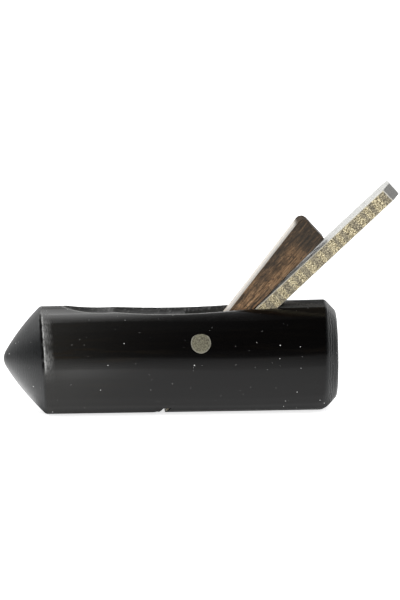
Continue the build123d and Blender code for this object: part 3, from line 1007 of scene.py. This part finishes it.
def throat_cutters(stock):
    """The throat and the groove of the mouth, in millimetres."""
    gap = stock.slide_gap / MM / sin(BED_ANGLE)
    groove_h = stock.mouth_groove_h / MM
    lip_x = mouth_lip_x(stock)
    wear_x = lip_x + stock.mouth_groove_run / MM
    top = 30

    def bed(z):
        """X of the bed at height z."""
        return EDGE_X + gap + z / tan(BED_ANGLE)

    low = -2
    throat = [
        (lip_x, 0),
        (wear_x, groove_h),
        (wear_x + (top - groove_h) / tan(stock.wear_angle), top),
        (bed(top), top),
        (bed(low), low),
        (lip_x - 1.2, low),
        (lip_x - 0.6, -0.2),
    ]
    groove = [
        (lip_x - 0.6, -0.2),
        (lip_x, 0),
        (wear_x, groove_h),
        (bed(groove_h), groove_h),
        (bed(low), low),
        (lip_x - 1.2, low),
    ]
    return prism("throat", throat, slot_half_width(stock)), prism("mouth groove", groove, 25)


STOCK_CREASE = radians(38)
PIECE_CREASE = radians(60)


class HANDPLANE_OT_stock(bpy.types.Operator):
    """Makes the ebony stock, with its finger hollow, throat, mouth and pin holes"""

    bl_idname = "handplane.stock"
    bl_label = "Stock"

    def execute(self, context):
        settings = context.scene.handplane_stock
        stock = new_object("ebony_stock", stock_mesh(settings))
        for cutter in (*throat_cutters(settings), pin_hole(context.scene.handplane_pin)):
            cut(stock, cutter)
        stock.data.transform(Matrix.Scale(MM, 4))
        stock.data.materials.clear()
        stock.data.materials.append(ebony_material(settings))
        smooth_below(stock.data, STOCK_CREASE)
        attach(stock, "stock")
        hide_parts("stock")
        return {"FINISHED"}


def weathered(node, name, tilt, settings, material, stretch=1.0, furrows=(0, 1), pits=(0, 1)):
    """A CAD node again in small even faces, with furrows and pits, each (depth in metres, size in millimetres)."""
    piece = remeshed_copy(node, name, settings.grain, tilt)
    values = {
        "Line Angle": tilt,
        "Stretch": stretch,
        "Furrow Depth": furrows[0],
        "Furrow Size": furrows[1],
        "Pit Depth": pits[0],
        "Pit Size": pits[1],
        "Seed": float(settings.seed),
        "Material": material,
    }
    run_tree(piece, found_tree("Weathered surface", weathering_tree), values)
    smooth_below(piece.data, PIECE_CREASE)
    return piece


class HANDPLANE_OT_iron(bpy.types.Operator):
    """Makes the thick steel iron, with pitted sides, a smooth face and a scaled back"""

    bl_idname = "handplane.iron"
    bl_label = "Iron"

    def execute(self, context):
        settings = context.scene.handplane_iron
        material = iron_material(settings)
        marks = {"furrows": (0.05 * MM, 2.4), "pits": (settings.pit_depth, 0.9)}
        iron = weathered("iron", "plane_iron", BED_ANGLE, settings, material, **marks)
        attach(iron, "iron")
        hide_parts("iron")
        return {"FINISHED"}


class HANDPLANE_OT_wedge(bpy.types.Operator):
    """Makes the worn wooden wedge"""

    bl_idname = "handplane.wedge"
    bl_label = "Wedge"

    def execute(self, context):
        settings = context.scene.handplane_wedge
        material = wedge_material(settings)
        marks = {"stretch": 8.0, "furrows": (settings.furrow_depth, 0.8), "pits": (0.03 * MM, 1.1)}
        wedge = weathered("wedge", "wooden_wedge", BED_ANGLE, settings, material, **marks)
        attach(wedge, "wedge")
        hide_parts("wedge")
        return {"FINISHED"}


class HANDPLANE_OT_cross_pin(bpy.types.Operator):
    """Makes the riveted cross pin"""

    bl_idname = "handplane.cross_pin"
    bl_label = "Cross Pin"

    def execute(self, context):
        settings = context.scene.handplane_pin
        marks = {"furrows": (settings.peen_depth, 1.3), "pits": (0.03 * MM, 0.6)}
        pin = weathered("cross_pin", "riveted_pin", 0.0, settings, pin_material(settings), **marks)
        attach(pin, "stock")
        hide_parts("cross_pin")
        return {"FINISHED"}


class HANDPLANE_OT_dust(bpy.types.Operator):
    """Scatters a few specks of dust on the stock"""

    bl_idname = "handplane.dust"
    bl_label = "Dust"

    def execute(self, context):
        settings = context.scene.handplane_dust
        stock = bpy.data.objects.get("ebony_stock")
        if stock is None:
            raise RuntimeError("make the stock before its dust")
        dust = new_object("dust_specks", stock.data.copy())
        values = {
            "Density": settings.density,
            "Radius": settings.size,
            "Seed": settings.seed,
            "Material": dust_material(settings),
        }
        run_tree(dust, found_tree("Scattered specks", dust_tree), values)
        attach(dust, "stock")
        return {"FINISHED"}


# ---------------------------------------------------------------- stage


# How bright the parts of the tent are. Each table has angles in degrees, or places in millimetres from the middle,
# and then the values there.
# The dark part towards the heel, by angle over the bar.
HEEL_LEVEL = (
    [0, 7, 13, 20, 32, 45, 80, 90, 98, 107, 118, 130, 145, 158, 168, 180],
    [0.25, 0.10, 0.04, 0.02, 0.01, 0.005, 0.005, 0.02, 0.06, 0.14, 0.14, 0.05, 0.015, 0.04, 0.25, 0.7],
)
# The dark part towards the nose, by angle over the bar.
NOSE_LEVEL = (
    [0, 7, 13, 20, 45, 66, 81, 89, 97, 103, 108, 114, 122, 130, 144, 155, 168, 180],
    [0.42, 0.18, 0.08, 0.04, 0.05, 0.12, 0.15, 0.15, 0.13, 0.5, 2.8, 5.4, 4.6, 2.3, 0.7, 0.4, 0.8, 1],
)
# Share of the nose end's levels, by lean along the bar.
TO_NOSE = ([-20, -5, -0.8, 0.5, 1.8, 3.0, 3.7, 4.4, 6], [1, 0.95, 0.66, 0.5, 0.4, 0.27, 0.12, 0.04, 0])
# What is left of the dark part's light in front, by angle round from the front.
FRONT_FADE = ([18, 60], [1, 0.15])
# Share of the dim patch low beside the nose, by angle round from the front.
ABEAM = ([60, 84, 112, 130], [0, 1, 1, 0])
# Share of the white wall on the nose side, by angle round from the front.
NOSE_SIDE = ([99, 103, 107, 111, 115, 120, 150, 170], [0, 0.04, 0.14, 0.55, 1.05, 1.2, 1, 0])
# Share of the white wall on the heel side, by angle round from the front.
HEEL_SIDE = ([60, 88, 120, 150, 170], [0, 0.36, 0.9, 0.9, 0])
# Ground in front, by dip below the horizon.
GROUND_FRONT = ([0, 5.6, 12, 18, 25], [0.25, 0.55, 0.76, 0.92, 1])
# Ground beside the nose, by dip.
GROUND_NOSE = ([0, 5, 12, 19, 45], [0.7, 1.0, 1.35, 1.6, 1.75])
# Ground beside the nose, by angle round from the front.
NOSE_ASIDE = ([82, 112, 150, 180], [1.02, 1.75, 1.2, 0.6])
# Share of the dim far ground beside the nose, by dip.
FAR_DIP = ([0, 5, 10], [1, 1, 0])
# The same, by angle round from the front.
FAR_ASIDE = ([80, 90, 105, 115], [0, 1, 0.8, 0])
# Share of the nose side's ground, by place along the bar.
NOSE_BLEND = ([-31, 15], [1, 0])
# Extra light on the ground in front, by place along the bar.
NOSEWARD = ([-32, -27, -14, -4, 13, 30], [0.5, 1, 0.24, 0.08, 0.03, 0])
# Extra light on the ground in front, by dip.
NOSEWARD_DIP = ([0, 6, 12, 16, 21, 25, 29, 36, 45], [1.0, 1.7, 1.8, 1.55, 0.87, 0.5, 0.3, 0.15, 0.05])
# Shade under and beside the bar, by distance from it.
FOOT_SHADE = ([0, 3.3, 5, 7, 11, 17], [0.02, 0.05, 0.2, 0.5, 0.88, 1])
WHITE_WALL = 0.95
SIDE_GROUND = 0.92
BAR_MIDDLE_Z = 13.0
HALF_BAR = 31  # the bar's foot is taken to reach this far each side of the origin
FRONT_LIMIT = 60  # angle over the bar up to which the tent counts as in front


def tent_glow(points):
    """How bright the tent is at points in millimetres: white at both sides, and dark in front, above and behind.

    The dark part has brighter bands, which the polished bar shows as lines of light along its top. The ground is
    brightest to the nose side, dims with distance in front, and lies in shade under the plane.
    """
    from_plane = points - np.array([0, 0, BAR_MIDDLE_Z])
    x, y, z = from_plane.T
    reach = np.linalg.norm(from_plane, axis=1)
    lift = np.degrees(np.arcsin(z / reach))
    azimuth = np.degrees(np.arctan2(np.abs(x), -y))
    lean = np.degrees(np.arcsin(x / reach))
    over = np.degrees(np.arctan2(z, -y))
    over = np.where(over < -90, over + 360, over)
    heel_level = np.interp(over, *HEEL_LEVEL)
    nose_level = np.interp(over, *NOSE_LEVEL)
    to_nose = np.interp(lean, *TO_NOSE)
    dark_level = heel_level + (nose_level - heel_level) * to_nose
    dark_level = dark_level * np.where(over < FRONT_LIMIT, np.interp(azimuth, *FRONT_FADE), 1)
    abeam = np.interp(azimuth, *ABEAM) * np.clip((36 - lift) / 18, 0, 1)
    dark_level = dark_level * (1 - 0.9 * abeam)
    to_side = np.where(x < 0, np.interp(azimuth, *NOSE_SIDE), np.interp(azimuth, *HEEL_SIDE))
    above = np.clip((lift - 22) / 22, 0, 1)
    dark = np.maximum(1 - to_side, above)
    wall = dark_level * dark + WHITE_WALL * (1 - dark)

    past_end = x - np.clip(x, -HALF_BAR, HALF_BAR)
    from_foot = np.hypot(past_end, y)
    dip = np.degrees(np.arctan2(BAR_MIDDLE_Z, from_foot))
    ground_front = np.interp(dip, *GROUND_FRONT)
    ground_nose = np.interp(dip, *GROUND_NOSE)
    aside = np.degrees(np.arctan2(np.abs(past_end), -y))
    ground_nose = ground_nose * np.interp(aside, *NOSE_ASIDE)
    far_off = np.interp(dip, *FAR_DIP) * np.interp(aside, *FAR_ASIDE)
    ground_nose = ground_nose * (1 - 0.85 * far_off)
    turn = np.clip((aside - 25) / 45, 0, 1)
    ground_side = SIDE_GROUND + (ground_nose - SIDE_GROUND) * np.interp(x, *NOSE_BLEND)
    towards_nose = np.interp(x, *NOSEWARD)
    middle_dip = np.interp(dip, *NOSEWARD_DIP)
    ground_front = ground_front * (1 + towards_nose * middle_dip)
    ground = ground_front * (1 - turn) + ground_side * turn
    ground = ground * np.interp(from_foot, *FOOT_SHADE)
    return np.where(points[:, 2] < 1, ground, wall)


def tent_mesh(name, radius, lift):
    """A dome over a round floor sheet that lies just off the ground, with its brightness held at its points."""
    turns = np.linspace(0, 2 * pi, 96, endpoint=False)
    reaches = np.concatenate([np.linspace(1.5, 30, 40), np.geomspace(31, radius, 40)])
    sheet = [[(r * cos(t), r * sin(t), lift) for t in turns] for r in reaches]
    dome = [[(radius * cos(e) * cos(t), radius * cos(e) * sin(t), lift + radius * sin(e)) for t in turns]
            for e in np.linspace(0.01, pi / 2 - 0.005, 72)]
    rings = np.array(sheet + dome)
    points = rings.reshape(-1, 3)
    mesh = bpy.data.meshes.new(name)
    mesh.from_pydata((points * MM).tolist(), [], grid_quads(0, *rings.shape[:2])[2])
    add_layer(mesh, "glow", tent_glow(points))
    return mesh


WHITE = (1, 1, 1, 1)
TENT_CLOTH = ((0.004, 0.004, 0.004, 1), (0.006, 0.006, 0.006, 1))
LAMP = {"place": (-0.35, -0.25, 0.8), "aim": (0, 0, 0.02), "size": 0.5}
CAMERA_AIM = Vector((0.00391, 0, 0.02628))


def glowing(tree, shader, base, rough, strength):
    """Joins up a matt surface that gives its own white light. The strength is a number, or a node's output."""
    wire(tree, shader, base, rough)
    shader.inputs["Specular IOR Level"].default_value = 0.0
    shader.inputs["Emission Color"].default_value = WHITE
    if isinstance(strength, bpy.types.NodeSocket):
        tree.links.new(strength, shader.inputs["Emission Strength"])
    else:
        shader.inputs["Emission Strength"].default_value = strength


def soft_light(name, place, aim, size, power):
    """A large square light."""
    lamp = bpy.data.lights.new(name, "AREA")
    lamp.shape = "SQUARE"
    lamp.size = size
    lamp.energy = power
    made = new_object(name, lamp)
    made.location = place
    made.rotation_mode = "QUATERNION"
    made.rotation_quaternion = (Vector(aim) - Vector(place)).to_track_quat("-Z", "Y")
    return made


class HANDPLANE_OT_stage(bpy.types.Operator):
    """Makes the pale floor, the soft light, the tent for reflections and the camera"""

    bl_idname = "handplane.stage"
    bl_label = "Stage"

    def execute(self, context):
        scene = context.scene
        settings = scene.handplane_stage
        self.make_floor(settings)
        self.make_light(scene, settings)
        self.make_camera(scene, settings)
        return {"FINISHED"}

    def make_floor(self, settings):
        """A wide pale floor with an even light of its own."""
        half = 6.0
        mesh = bpy.data.meshes.new("floor")
        corners = [(-half, -half, 0), (half, -half, 0), (half, half, 0), (-half, half, 0)]
        mesh.from_pydata(corners, [], [(0, 1, 2, 3)])
        floor = new_object("floor", mesh)
        made, tree, shader = new_material("pale_floor")
        grain = noise(tree, place_in_mm(tree), 0.02)
        base = blend(tree, grain, rgba(settings.pale), rgba(settings.pale, 0.98))
        glowing(tree, shader, base, ramp(tree, grain, 0.0, 1.0, 0.85, 0.95), settings.floor_glow)
        mesh.materials.append(made)

    def make_light(self, scene, settings):
        """Even light from all round, one soft lamp, and a tent that only shows in reflections."""
        world = bpy.data.worlds.new("studio")
        world.use_nodes = True
        sky = world.node_tree.nodes["Background"]
        sky.inputs["Color"].default_value = WHITE
        sky.inputs["Strength"].default_value = settings.round_light
        scene.world = world
        soft_light("top light", **LAMP, power=settings.lamp_power).visible_glossy = False

        tent = new_object("tent", tent_mesh("tent", radius=600, lift=0.02))
        made, tree, shader = new_material("tent_cloth")
        weave = noise(tree, place_in_mm(tree), 0.02)
        cloth = blend(tree, weave, *TENT_CLOTH)
        glowing(tree, shader, cloth, ramp(tree, weave, 0, 1, 0.9, 1.0), attribute(tree, "glow"))
        tent.data.materials.append(made)
        for ray in ("camera", "diffuse", "shadow", "transmission"):
            setattr(tent, f"visible_{ray}", False)

    def make_camera(self, scene, settings):
        """A long lens, a little above the floor and a little to the nose side."""
        scene.view_settings.view_transform = "Standard"
        lens = bpy.data.cameras.new("camera")
        camera = new_object("camera", lens)
        level = cos(settings.elevation)
        back = Vector((sin(settings.azimuth) * level, -cos(settings.azimuth) * level, sin(settings.elevation)))
        camera.location = CAMERA_AIM + back * settings.distance
        camera.rotation_mode = "QUATERNION"
        facing = (-back).to_track_quat("-Z", "Y")
        camera.rotation_quaternion = facing @ Matrix.Rotation(-settings.roll, 4, "Z").to_quaternion()
        lens.sensor_width = 36
        lens.lens = settings.distance / settings.view_height * lens.sensor_width
        lens.clip_start = 0.05
        lens.clip_end = 50
        scene.camera = camera


# ---------------------------------------------------------------- panel and registering


class HANDPLANE_PT_panel(bpy.types.Panel):
    """Buttons and settings for the hand plane"""

    bl_label = "Hand Plane"
    bl_idname = "HANDPLANE_PT_panel"
    bl_space_type = "VIEW_3D"
    bl_region_type = "UI"
    bl_category = "Hand Plane"

    def draw(self, context):
        for operator, _ in MAKERS:
            self.layout.operator(operator.bl_idname)
        for _, (name, group) in MAKERS:
            box = self.layout.box()
            box.label(text=group.__name__)
            for key in group.__annotations__:
                box.prop(getattr(context.scene, name), key)


MAKERS = (
    (HANDPLANE_OT_stage, ("handplane_stage", StageSettings)),
    (HANDPLANE_OT_stock, ("handplane_stock", StockSettings)),
    (HANDPLANE_OT_cross_pin, ("handplane_pin", PinSettings)),
    (HANDPLANE_OT_iron, ("handplane_iron", IronSettings)),
    (HANDPLANE_OT_wedge, ("handplane_wedge", WedgeSettings)),
    (HANDPLANE_OT_dust, ("handplane_dust", DustSettings)),
)


def register():
    for operator, (name, group) in MAKERS:
        bpy.utils.register_class(group)
        bpy.utils.register_class(operator)
        setattr(bpy.types.Scene, name, PointerProperty(type=group))
    bpy.utils.register_class(HANDPLANE_PT_panel)


def unregister():
    bpy.utils.unregister_class(HANDPLANE_PT_panel)
    for operator, (name, group) in reversed(MAKERS):
        delattr(bpy.types.Scene, name)
        bpy.utils.unregister_class(operator)
        bpy.utils.unregister_class(group)


def main():
    """Makes everything."""
    register()
    for operator, _ in MAKERS:
        category, name = operator.bl_idname.split(".")
        getattr(getattr(bpy.ops, category), name)()


if __name__ == "__main__":
    main()
